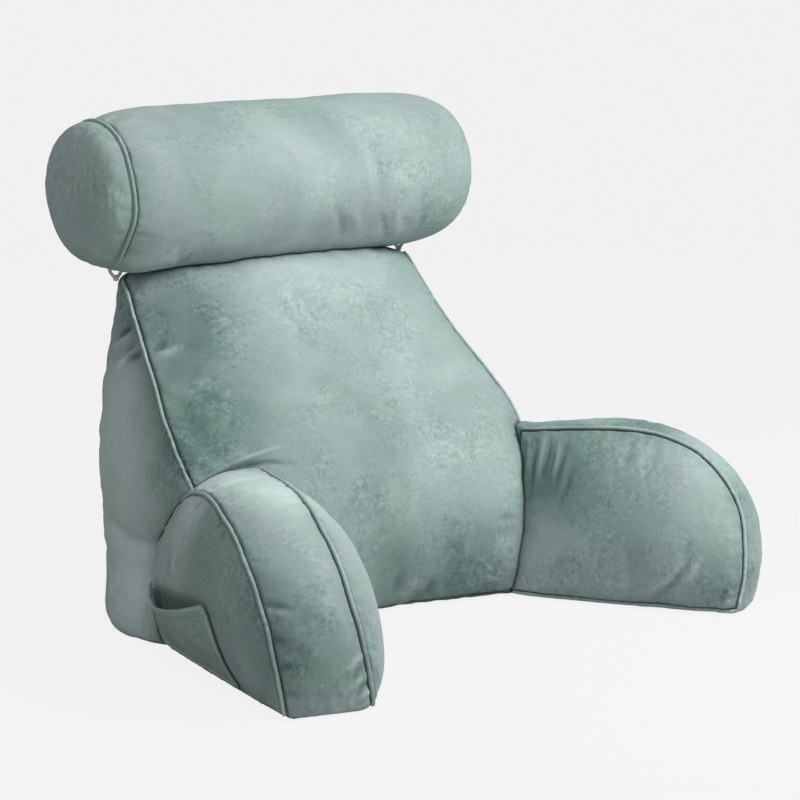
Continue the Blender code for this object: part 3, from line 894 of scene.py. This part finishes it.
def plush_group():
    """Short-pile plush: patches brushed one way or the other, the small tufts and strokes in them, the pile
    itself, and the painted shade in seams and where cushions touch. Its brushed input pushes the colour lighter
    or darker, partly as brushed pile and partly as painted light and shade."""
    found = bpy.data.node_groups.get("plush_nap")
    if found:
        return found
    group, nodes, given = new_group(
        "plush_nap",
        [
            ("Vector", "NodeSocketVector", None),
            ("Sunk", "NodeSocketFloat", 0.0),
            ("Brushed", "NodeSocketFloat", 0.0),
            ("Pile With The Nap", "NodeSocketColor", (0.5, 0.6, 0.6, 1)),
            ("Pile Against It", "NodeSocketColor", (0.2, 0.3, 0.3, 1)),
            ("Patch Contrast", "NodeSocketFloat", 0.5),
        ],
        [("Colour", "NodeSocketColor"), ("Roughness", "NodeSocketFloat"), ("Height", "NodeSocketFloat")],
    )
    at = given["Vector"]
    patches = nodes.spread(nodes.noise(at, 8.0, 2.0, 0.5, 0.6), 0.32, 0.68)
    where_brushed = nodes.spread(nodes.noise(at, 15.0, 3.0, 0.6, 0.8), 0.42, 0.66)
    tufts = nodes.spread(nodes.noise(at, 210.0, 2.0, 0.6, 0.6), 0.30, 0.70)
    strokes = nodes.strokes(at, (190.0, 190.0, 62.0), (0.6, 0.45, 0.0), 0.32, 0.68)
    cross_strokes = nodes.strokes(at, (58.0, 160.0, 160.0), (0.3, 0.0, 0.5), 0.34, 0.66)
    pile = nodes.noise(at, 1100.0, 2.0, 0.6)
    brushed = nodes.plus(nodes.times(strokes, 0.5), nodes.times(cross_strokes, 0.5))
    small = nodes.plus(nodes.times(tufts, 0.45), nodes.times(brushed, 0.55))
    strength = nodes.plus(nodes.times(where_brushed, 0.78), 0.14)
    small_share = nodes.times(nodes.off_middle(small), strength)
    broad_share = nodes.times(nodes.off_middle(patches), 0.34)
    lie = nodes.times(nodes.plus(small_share, broad_share), given["Patch Contrast"])
    # The brushed input is partly brushed pile and partly painted light and shade.
    share = nodes.plus(nodes.plus(lie, given["Brushed"]), 0.5, clamp=True)
    colour = nodes.mix(share, given["Pile Against It"], given["Pile With The Nap"])
    cooler = nodes.spread(nodes.noise(at, 11.0, 2.0, 0.5, 0.5), 0.36, 0.64)
    tinted = nodes.mix(1.0, colour, nodes.mix(cooler, *NAP_TINTS), "MULTIPLY")
    grain = nodes.plus(nodes.times(nodes.off_middle(pile), 0.30), 1.0)
    grained = nodes.mix(1.0, tinted, grain, "MULTIPLY")
    # Painted shade: the colour darkened by the painted shade tint where the sunk mark is set.
    shaded_colour = nodes.mix(given["Sunk"], grained, nodes.mix(1.0, grained, PAINTED_SHADE_TINT, "MULTIPLY"))
    standing = nodes.plus(nodes.times(tufts, 0.35), nodes.times(brushed, 0.65))
    height = nodes.plus(nodes.times(pile, 0.35), standing)
    roughness = nodes.plus(nodes.times(small, 0.16), 0.74)
    nodes.add("NodeGroupOutput", {}, Colour=shaded_colour, Roughness=roughness, Height=height)
    return group


def new_material(name):
    material = bpy.data.materials.new(name)
    material.use_nodes = True
    material.node_tree.nodes.clear()
    return material, Nodes(material.node_tree)


def plush(name):
    """The plush in the user's colours, for the cushions or for their rolled seams."""
    if name in bpy.data.materials:
        return bpy.data.materials[name]
    material, nodes = new_material(name)
    nap = nodes.add(
        "ShaderNodeGroup",
        {"node_tree": plush_group()},
        Vector=nodes.add("ShaderNodeTexCoord").outputs["Object"],
        # The sunk mark is painted shade; the brushed mark is partly brushed pile and partly painted light and
        # shade.
        Sunk=nodes.mark("sunk"),
        Brushed=nodes.mark("brushed"),
        Pile_With_The_Nap=(*colours().nap_light, 1.0),
        Pile_Against_It=(*colours().nap_dark, 1.0),
        Patch_Contrast=PATCH_CONTRAST[name],
    ).outputs
    nodes.finish(
        Base_Color=nap["Colour"],
        Roughness=nap["Roughness"],
        Normal=nodes.bump(0.28, 0.0010, nap["Height"]),
        Specular_IOR_Level=0.15,
        Sheen_Weight=0.22,
        Sheen_Roughness=0.5,
        Sheen_Tint=(0.85, 0.94, 0.93, 1.0),
    )
    return material


def cord_material():
    """Smooth twisted cord: its strands run slantwise across it in fine bands."""
    material, nodes = new_material("loop_cord_look")
    colour = colours().cord
    where = nodes.add("ShaderNodeTexCoord").outputs["Object"]
    bands = {"wave_type": "BANDS", "bands_direction": "DIAGONAL"}
    strands = nodes.add("ShaderNodeTexWave", bands, Vector=where, Scale=420.0, Distortion=2.0).outputs[1]
    tint = nodes.mix(strands, (*[c * 0.84 for c in colour], 1.0), (*colour, 1.0))
    nodes.finish(Base_Color=tint, Normal=nodes.bump(0.5, 0.0003, strands), Roughness=0.75)
    return material


# -----------------------------------------------------------------------------------------------------------
# What a user would change


def size_setting(name, description, default, low, high):
    """A size in metres that a user may change."""
    bounds = {"min": low, "max": high, "unit": "LENGTH", "precision": 4}
    return FloatProperty(name=name, description=description, default=default, **bounds)


def colour_setting(name, description, default):
    """A colour that a user may change."""
    bounds = {"min": 0.0, "max": 1.0, "subtype": "COLOR"}
    return FloatVectorProperty(name=name, description=description, default=default, **bounds)


class PillowSizes(bpy.types.PropertyGroup):
    stuffing_pressure: FloatProperty(
        name="Stuffing Pressure",
        description="How hard the filling presses on the cloth",
        default=4.0,
        min=0.0,
        max=12.0,
    )
    spare_cloth: FloatProperty(
        name="Spare Cloth",
        description="How much larger the cloth is than the shape it covers",
        default=0.022,
        min=0.0,
        max=0.1,
        subtype="FACTOR",
    )
    seam_radius: size_setting("Seam Radius", "Radius of the rolled cloth along each seam", 0.0019, 0.001, 0.006)
    pocket_gape: size_setting("Pocket Gape", "How far the pocket's mouth stands open", 0.0180, 0.0, 0.04)
    pocket_sag: size_setting(
        "Pocket Sag", "How far the middle of the pocket's mouth hangs down", 0.0130, 0.0, 0.03
    )
    pocket_thickness: size_setting(
        "Pocket Thickness", "Thickness of the pocket's doubled cloth", 0.0018, 0.001, 0.004
    )
    cord_radius: size_setting("Cord Radius", "Radius of the loops' cord", 0.0018, 0.0005, 0.003)


class PillowColours(bpy.types.PropertyGroup):
    nap_light: colour_setting("Brushed Light", "Plush where the pile lies with the nap", (0.615, 0.730, 0.722))
    nap_dark: colour_setting("Brushed Dark", "Plush where the pile stands against it", (0.118, 0.194, 0.185))
    cord: colour_setting("Cord", "The loops' cord", (0.90, 0.91, 0.87))
    floor: colour_setting("Floor", "Floor and backdrop", (0.86, 0.86, 0.86))


def sizes():
    return bpy.context.scene.pillow_sizes


def colours():
    return bpy.context.scene.pillow_colours


# -----------------------------------------------------------------------------------------------------------
# The cushions


def finish_piece(obj, node):
    """Says which body a piece belongs to and hides the part of the drawing that it stands for."""
    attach(obj, "root")
    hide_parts(node)


def arm_runs(rear, rear_top, corner):
    """The arm's outline in three runs of (length, height): over the top to the toe, back under, up the rear.
    rear_top is its height just in front of the body, and a corner below 1 makes its round end squarer."""
    top = 1 + ARM_TOP_RISE
    arc = []
    for i in range(ARC_STEPS + 1):
        t = math.pi / 2 * (1 - i / ARC_STEPS)
        along = ARM_ARC_START + (1 - ARM_ARC_START) * abs(math.cos(t)) ** corner
        arc.append((along, ARM_NOSE_HEIGHT + (top - ARM_NOSE_HEIGHT) * math.sin(t) ** corner))
    toe = (1 - ARM_NOSE_TUCK, 0.0)
    nose = (1 - ARM_NOSE_TUCK / 4, ARM_NOSE_HEIGHT / 2)
    over = (rear[0], (ARM_REAR_RUN, rear_top), *arc, nose, toe)
    return over, (toe, rear[-1]), rear[::-1]


def arm_point(side_name, panel, along, height):
    """A point of an arm's flat panel, before it is filled."""
    plan = ARMS[side_name]
    foot, toe, shoulder, hand = [Vector(corner) for corner in plan[panel]]
    x, y = foot.lerp(toe, along).lerp(shoulder.lerp(hand, along), height)
    return Vector((plan["side"] * x, y, SEAM_LIFT + height * (ARM_HEIGHT - SEAM_LIFT)))


def arm_outwards(side_name):
    """The way from an arm's inner panel to its outer one."""
    middles = [arm_point(side_name, panel, 0.5, 0.5) for panel in ("inner", "outer")]
    return (middles[1] - middles[0]).normalized()


def arm_case(side_name):
    plan = ARMS[side_name]
    counts = [ARM_COUNTS[key] for key in ("over", "under", "rear")]
    rims = []
    for panel in ("inner", "outer"):
        runs = zip(arm_runs(plan["rear"][panel], plan["top"][panel], plan["corner"][panel]), counts)
        flat = [p for points, count in runs for p in run([(*at, 0) for at in points], count)]
        rims.append([arm_point(side_name, panel, p.x, p.y) for p in flat])
    swell = [plan["swell"]] * counts[0] + [2 * SEAM_LIFT] * counts[1] + [0.0] * counts[2]
    across = arm_outwards(side_name)
    crowns = (-across * plan["crown"][0], across * plan["crown"][1])
    return sewn_case(f"arm_{side_name}_plush", rims, softened(np.array(swell), 3), crowns, ARM_COUNTS)


def backrest_case():
    across, down = BACKREST_COUNTS["across"], BACKREST_COUNTS["down"]

    def rim(top, right, foot, left):
        return run(top, across) + run(right, down) + run(foot, across) + run(left[::-1], down)

    rear_left = tuple((-x, y, z) for x, y, z in REAR_SEAM)
    front = rim(TOP_FRONT, (*FRONT_SEAM_RIGHT, FRONT_FOOT[0]), FRONT_FOOT, (*FRONT_SEAM_LEFT, FRONT_FOOT[-1]))
    rear = rim(TOP_REAR, REAR_SEAM, REAR_FOOT, rear_left)
    side = list(np.interp(range(down), np.linspace(0.0, down, len(SIDE_SWELL)), SIDE_SWELL))
    swell = [TOP_SWELL] * across + side + [2 * SEAM_LIFT] * across + side[::-1]
    crowns = (FRONT_CROWN, REAR_CROWN)
    return sewn_case("backrest_plush", (front, rear), softened(np.array(swell), 2), crowns, BACKREST_COUNTS)


def roll_profile(s):
    """How far the neck roll stands above a straight line between its end seams, at fraction s of its length."""
    left, right = ROLL_ENDS
    straight = left["radius"] * (1 - s) + right["radius"] * s
    end, place = (left, s) if s < 0.5 else (right, 1 - s)
    drawn = max(0.0, 1 - place / end["rounding"]) ** end["power"]
    rise = 1 - drawn if end is left else math.sqrt(1 - drawn)
    return end["radius"] + (ROLL_RADIUS - end["radius"]) * rise - straight


def roll_case():
    count = ROLL_COUNTS["round"]
    middle = Vector(ROLL_CENTRE)
    rims = []
    for end in ROLL_ENDS:
        turns = [math.tau * i / count for i in range(count)]
        ring = [Vector((0, math.cos(t), math.sin(t))) * end["radius"] for t in turns]
        rims.append([middle + Vector((end["side"] * end["reach"], 0, 0)) + p for p in ring])
    crowns = [(end["side"] * end["crown"], 0, 0) for end in ROLL_ENDS]
    return sewn_case("neck_roll_plush", rims, [1.0] * count, crowns, ROLL_COUNTS, roll_profile, ROLL_CAP_POWER)


class PILLOW_OT_cushions(bpy.types.Operator):
    """Sew, stuff and dress the backrest, the two arms and the neck roll"""

    bl_idname = "pillow.cushions"
    bl_label = "Make Cushions"

    def execute(self, context):
        cases = {"neck_roll": roll_case(), "backrest": backrest_case()}
        for side_name in ARMS:
            cases["arm_" + side_name] = arm_case(side_name)
        for name, (obj, lines) in cases.items():
            seams[name] = lines
            even_cloth(obj, SQUARES[name])
            stuff(obj, lines, SQUARES[name], CAPS[name])
            subdivided(obj)
            finer_at_seams(obj, lines, FOLDS[name])
        plain = {name: surface(obj) for name, (obj, _) in cases.items()}
        for seed, (name, (obj, lines)) in enumerate(cases.items()):
            pressed = [(plain[other], *amounts) for other, amounts in PRESSED[name].items()]
            dress(obj, lines, GROOVES[name], FOLDS[name], seed + 1, pressed)
        cut_clear(cases["backrest"][0], [cases[name][0] for name in ON_BACKREST])
        dressed = {name: surface(obj) for name, (obj, _) in cases.items()}
        for name, (obj, lines) in cases.items():
            touching = ON_BACKREST if name == "backrest" else ["backrest"]
            trees = [dressed[other] for other in touching]
            shade(obj, lines, GROOVES[name], trees, BRUSHED_AND_PAINTED_LIGHT[name], FOLDS[name])
            obj.data.materials.clear()
            obj.data.materials.append(plush("plush_cloth_look"))
            finish_piece(obj, name)
        return {"FINISHED"}


# -----------------------------------------------------------------------------------------------------------
# Seams, pocket and loops


def tube(name, points, radii, ups, material, closed):
    """A tube of cloth or cord along the points, with a radius and a way up at each."""
    mesh = bmesh.new()
    count = len(points)
    rings = []
    for i in range(count):
        before = points[(i - 1) % count] if closed or i else points[i]
        after = points[(i + 1) % count] if closed or i < count - 1 else points[i]
        along = (after - before).normalized()
        up = (ups[i] - along * ups[i].dot(along)).normalized()
        side = along.cross(up)
        turn = Matrix((side, up, along)).transposed().to_4x4()
        turn.translation = points[i]
        ring = bmesh.ops.create_circle(mesh, cap_ends=False, segments=TUBE_SIDES, radius=radii[i], matrix=turn)
        rings.append(ring["verts"])
    loops = [list({e for v in ring for e in v.link_edges}) for ring in rings]
    pairs = list(zip(loops, loops[1:])) + ([(loops[-1], loops[0])] if closed else [])
    for a, b in pairs:
        bmesh.ops.bridge_loops(mesh, edges=a + b)
    if not closed:
        bmesh.ops.holes_fill(mesh, edges=loops[0] + loops[-1], sides=0)
    bmesh.ops.recalc_face_normals(mesh, faces=mesh.faces)
    return made_object(name, mesh, material)


class PILLOW_OT_seams(bpy.types.Operator):
    """Roll the cloth along every seam that shows"""

    bl_idname = "pillow.seams"
    bl_label = "Make Rolled Seams"

    def execute(self, context):
        trees = {name: surface(bpy.data.objects[name + "_plush"]) for name in seams}
        all_round = (0, ROLL_COUNTS["round"])
        for (end, stand), line in zip(ROLL_SEAM_STAND.items(), seams["neck_roll"]):
            names = ("roll_seam_" + end, "roll_piping_" + end)
            rolled_seam(*names, line, all_round, trees["neck_roll"], (), True, stand)
        over, under = ARM_COUNTS["over"], ARM_COUNTS["under"]
        for side_name in ARMS:
            arm = "arm_" + side_name
            for panel, line, last in zip(("inner", "outer"), seams[arm], (over + under, over)):
                names = (f"{arm}_seam_{panel}", f"{arm}_piping_{panel}")
                rolled_seam(*names, line, (0, last), trees[arm], [trees["backrest"]])
        across, down = BACKREST_COUNTS["across"], BACKREST_COUNTS["down"]
        spans = {"right": (across, across + down), "left": (2 * across + down, 2 * across + 2 * down)}
        for side_name, span in spans.items():
            names = ("backrest_seam_" + side_name, "backrest_piping_" + side_name)
            lying_on_it = [trees[other] for other in ON_BACKREST]
            rolled_seam(*names, seams["backrest"][0], span, trees["backrest"], lying_on_it)
        return {"FINISHED"}


def buried(tree, point, margin):
    """Whether a point is within the margin of a closed surface, or inside it, where a line up from it crosses
    the surface an odd number of times."""
    if tree.find_nearest(point)[3] < margin:
        return True
    crossings = 0
    up = Vector((0, 0, 1))
    hit = tree.ray_cast(point, up)[0]
    while hit:
        crossings += 1
        hit = tree.ray_cast(hit + up * 1e-5, up)[0]
    return crossings % 2 == 1


def rolled_seam(name, node, line, span, host, neighbours, closed=False, stand=0.6):
    """The cloth rolled along a seam between two of its turns, as far as it runs clear of the neighbours. stand
    is how far its middle stands off the cloth, in radii."""
    radius = sizes().seam_radius
    stretches = [[]]
    for k in np.nonzero((line.turn >= span[0]) & (line.turn <= span[1]))[0][::2]:
        place, way = Vector(line.points[k]), Vector(line.out[k])
        at = host.find_nearest(place)[0] + way * radius * stand
        at.z = max(at.z, radius + OFF_FLOOR)
        if any(buried(tree, at, radius * 0.4) for tree in neighbours):
            continue
        if stretches[-1] and k - stretches[-1][-1][0] > SEAM_GAP:
            stretches.append([])
        width = radius * (1.0 + SEAM_UNEVEN * noise.noise(Vector((k * 0.09, len(name), 1.0))))
        stretches[-1].append((k, at, way, width))
    _, points, ups, radii = zip(*max(stretches, key=len))
    ends = 0 if closed else 1
    for _ in range(3):
        count = len(points)
        inner = range(ends, count - ends)
        smooth = {k: (points[k - 1] + 2 * points[k] + points[(k + 1) % count]) / 4 for k in inner}
        points = [smooth.get(k, point) for k, point in enumerate(points)]
    finish_piece(tube(name, points, radii, ups, plush("plush_seam_look"), closed), node)


def paint_shadow(obj, marks, reach):
    """Paints shadow onto a cushion's cloth around the marks, which are (point, depth of the painted shadow)."""
    tree = KDTree(len(marks))
    for k, (point, _) in enumerate(marks):
        tree.insert(point, k)
    tree.balance()
    for vert, mark in zip(obj.data.vertices, obj.data.attributes["sunk"].data):
        _, k, away = tree.find(vert.co)
        mark.value = max(mark.value, marks[k][1] * bell(away, 0.0, reach))


def pocket_relief(sewn, hem, tack):
    """How far the pocket's cloth rises over its sewn edge, its hem and the tack at the front end of its mouth,
    and sinks along their stitches, by its distance from each."""
    edge = 0.0019 * bell(sewn, 0.0018, 0.0015) - 0.0008 * bell(sewn, 0.0052, 0.0012)
    folded = 0.0009 / (1 + math.exp((hem - 0.0105) / 0.0007)) - 0.0006 * bell(hem, 0.0108, 0.0008)
    return edge + folded + 0.0007 * bell(hem, 0.0, 0.0016) + 0.0016 * bell(tack, 0.0, 0.0034)


class PILLOW_OT_pocket(bpy.types.Operator):
    """Sew the patch pocket to the outside of the left arm"""

    bl_idname = "pillow.pocket"
    bl_label = "Make Pocket"

    def execute(self, context):
        arm = bpy.data.objects["arm_left_plush"]
        tree = surface(arm)
        outwards = arm_outwards("left")
        mouth, foot = [[Vector(p) for p in edge] for edge in (POCKET_MOUTH, POCKET_FOOT)]
        mesh = bmesh.new()
        bmesh.ops.create_grid(mesh, x_segments=POCKET_COUNTS[0], y_segments=POCKET_COUNTS[1], size=1.0)
        length, depth = POCKET_SIZE
        inside, marks = [], []
        for vert in mesh.verts:
            across, up = (vert.co.x + 1) / 2, (vert.co.y + 1) / 2
            along, height = foot[0].lerp(foot[1], across).lerp(mouth[0].lerp(mouth[1], across), up)
            start = arm_point("left", "outer", along, height) + Vector(SHIFT) + outwards * ARM_HEIGHT
            place = tree.ray_cast(start, -outwards)[0]
            gape = math.sin(math.pi * across) * up**1.4
            sewn = min(across * length, (1 - across) * length, up * depth)
            hem = (1 - up) * depth
            tack = Vector(((1 - across) * length, hem)).length
            stand = 0.0005 + 0.0011 * (1 - bell(sewn, 0.0, 0.005))
            soft = 0.0016 * noise.noise(place / 0.022) + 0.0008 * noise.noise(place / 0.009)
            rise = stand + sizes().pocket_gape * gape + pocket_relief(sewn, hem, tack)
            vert.co = place + outwards * (rise + soft * min(1.0, sewn / 0.012))
            vert.co.z -= sizes().pocket_sag * gape
            # Painted shadow on the arm inside the pocket's open mouth, fading towards the ends of the mouth.
            lip = 1.0 if up < 0.9 else math.sin(math.pi * across) ** 0.4 * (1 - 4 * (up - 0.9))
            inside.append((place, 0.95 * lip))
            # Painted shade along the pocket's sewn edges, painted highlight on the ridge beside its edges and
            # hem, and the whole pocket pushed a little darker.
            sunk = 0.7 * bell(sewn, 0.0, 0.0009)
            marks.append((sunk, 0.30 * bell(min(sewn, hem), 0.0020, 0.0014) - 0.1))
        mesh.normal_update()
        if sum((face.normal for face in mesh.faces), Vector()).dot(outwards) < 0:
            bmesh.ops.reverse_faces(mesh, faces=mesh.faces)
        paint_shadow(arm, inside, 0.0022)
        obj = made_object("pocket_plush", mesh, plush("plush_cloth_look"))
        for label, values in zip(("sunk", "brushed"), zip(*marks)):
            obj.data.attributes.new(label, "FLOAT", "POINT").data.foreach_set("value", values)
        solidify = obj.modifiers.new("cloth", "SOLIDIFY")
        solidify.thickness = sizes().pocket_thickness
        solidify.offset = 1.0
        applied(obj)
        finish_piece(obj, "pocket")
        return {"FINISHED"}


class PILLOW_OT_loops(bpy.types.Operator):
    """Tie the two cord loops that hold the neck roll"""

    bl_idname = "pillow.loops"
    bl_label = "Make Cord Loops"

    def execute(self, context):
        material = cord_material()
        radius = sizes().cord_radius
        for side_name in ("left", "right"):
            low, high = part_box("roll_loop_" + side_name)
            middle = (low + high) / 2
            half = (high - low) / 2
            cord = run([(x, 0.0, z) for x, z in LOOP_SHAPE], LOOP_COUNT)
            points = [middle + Vector((half.x * 0.86 * p.x, 0.0, half.z * 0.8 * p.z)) for p in cord]
            ups = [Vector((0, -1, 0))] * len(points)
            knot = [bell(Vector((p.x, 0.0, p.z + 1)).length, 0.0, KNOT_REACH) for p in cord]
            radii = [radius * (1 + KNOT_RISE * here) for here in knot]
            obj = tube("roll_tie_" + side_name, points, radii, ups, material, True)
            finish_piece(obj, "roll_loop_" + side_name)
        return {"FINISHED"}


# -----------------------------------------------------------------------------------------------------------
# Stage


def area_light(name, place, target, size, energy, colour):
    data = bpy.data.lights.new(name, "AREA")
    data.shape = "DISK"
    data.size = size
    data.energy = energy
    data.color = colour
    obj = bpy.data.objects.new(name, data)
    obj.location = place
    obj.rotation_euler = (Vector(target) - Vector(place)).to_track_quat("-Z", "Y").to_euler()
    bpy.context.scene.collection.objects.link(obj)


def floor_material():
    """A pale floor that looks evenly lit to the camera, and throws only a little light back at the pillow."""
    material, nodes = new_material("pale_floor")
    seen = nodes.add("ShaderNodeLightPath").outputs["Is Camera Ray"]
    nodes.finish(
        Base_Color=nodes.mix(seen, (0.55, 0.55, 0.55, 1.0), (0.05, 0.05, 0.05, 1.0)),
        Emission_Color=nodes.mix(seen, (0.0, 0.0, 0.0, 1.0), (*colours().floor, 1.0)),
        Emission_Strength=1.0,
        Roughness=0.95,
        Specular_IOR_Level=0.0,
    )
    return material


class PILLOW_OT_stage(bpy.types.Operator):
    """Set up the floor, the light and the camera"""

    bl_idname = "pillow.stage"
    bl_label = "Make Stage"

    def execute(self, context):
        scene = context.scene
        mesh = bmesh.new()
        profile = [(0.0, 0.0), (FLOOR_EDGE, 0.0)]
        for i in range(1, 13):
            t = math.pi / 2 * i / 12
            profile.append((FLOOR_EDGE + FLOOR_BEND * math.sin(t), FLOOR_BEND - FLOOR_BEND * math.cos(t)))
        profile.append((FLOOR_EDGE + FLOOR_BEND, WALL_TOP))
        verts = [mesh.verts.new((x, 0.0, z)) for x, z in profile]
        edges = [mesh.edges.new(pair) for pair in zip(verts, verts[1:])]
        turn = {"cent": (0, 0, 0), "axis": (0, 0, 1), "angle": math.tau, "steps": 96}
        bmesh.ops.spin(mesh, geom=verts + edges, **turn, use_merge=True, use_duplicate=False)
        bmesh.ops.remove_doubles(mesh, verts=mesh.verts, dist=1e-5)
        made_object("floor", mesh, floor_material())
        world = bpy.data.worlds.new("soft_daylight")
        world.use_nodes = True
        for socket, value in zip(world.node_tree.nodes["Background"].inputs, DAYLIGHT):
            socket.default_value = value
        scene.world = world
        for name, light in LIGHTS.items():
            area_light(name, *light)
        scene.view_settings.view_transform = "Standard"
        data = bpy.data.cameras.new("camera")
        data.lens = CAMERA["lens"]
        data.sensor_width = SENSOR_WIDTH
        data.clip_end = 50.0
        camera = bpy.data.objects.new("camera", data)
        right, up, back, place = camera_axes()
        turned = Matrix((right, up, back)).transposed().to_4x4()
        turned.translation = place
        camera.matrix_world = turned
        scene.collection.objects.link(camera)
        scene.camera = camera
        return {"FINISHED"}


# -----------------------------------------------------------------------------------------------------------


class PILLOW_PT_panel(bpy.types.Panel):
    """Lists the pillow's sizes, colours and steps"""

    bl_label = "Reading Pillow"
    bl_idname = "PILLOW_PT_panel"
    bl_space_type = "VIEW_3D"
    bl_region_type = "UI"
    bl_category = "Reading Pillow"

    def draw(self, context):
        for group in (context.scene.pillow_sizes, context.scene.pillow_colours):
            box = self.layout.box()
            for name in group.__annotations__:
                box.prop(group, name)
        for step in STEPS:
            self.layout.operator(step.bl_idname)


STEPS = (PILLOW_OT_stage, PILLOW_OT_cushions, PILLOW_OT_seams, PILLOW_OT_pocket, PILLOW_OT_loops)
CLASSES = (PillowSizes, PillowColours, *STEPS, PILLOW_PT_panel)


def register():
    for cls in CLASSES:
        bpy.utils.register_class(cls)
    bpy.types.Scene.pillow_sizes = PointerProperty(type=PillowSizes)
    bpy.types.Scene.pillow_colours = PointerProperty(type=PillowColours)


def unregister():
    del bpy.types.Scene.pillow_colours
    del bpy.types.Scene.pillow_sizes
    for cls in reversed(CLASSES):
        bpy.utils.unregister_class(cls)


def main():
    register()
    bpy.ops.pillow.stage()
    bpy.ops.pillow.cushions()
    bpy.ops.pillow.seams()
    bpy.ops.pillow.pocket()
    bpy.ops.pillow.loops()


if __name__ == "__main__":
    main()
